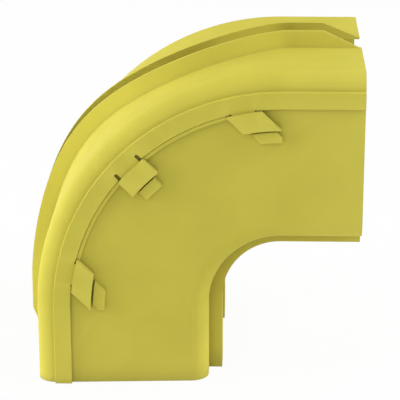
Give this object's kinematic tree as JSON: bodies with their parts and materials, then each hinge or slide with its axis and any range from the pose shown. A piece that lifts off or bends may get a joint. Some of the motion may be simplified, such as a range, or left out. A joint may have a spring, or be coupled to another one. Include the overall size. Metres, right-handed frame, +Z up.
{
  "type": "fibre raceway downward bend",
  "caption": "Right-angle downward bend of a fibre raceway: an open duct on support rails, with a split clip-on cover whose upturned lips leave a winding slot for laying in fibres.",
  "frame": {"origin": "the middle of the duct floor's end edge at the lower port, on the plane that the fitting stands on", "axes": "+Z up along the lower leg, +X out of the upper port, +Y to the rear across the duct"},
  "size_m": [0.2284, 0.1784, 0.2283],
  "materials": {
    "duct": "matt moulded",
    "cover": "matt moulded"
  },
  "bodies": {
    "root": {"duct_elbow": "duct", "front_cover_half": "cover", "rear_cover_half": "cover"}
  },
  "joints": []
}
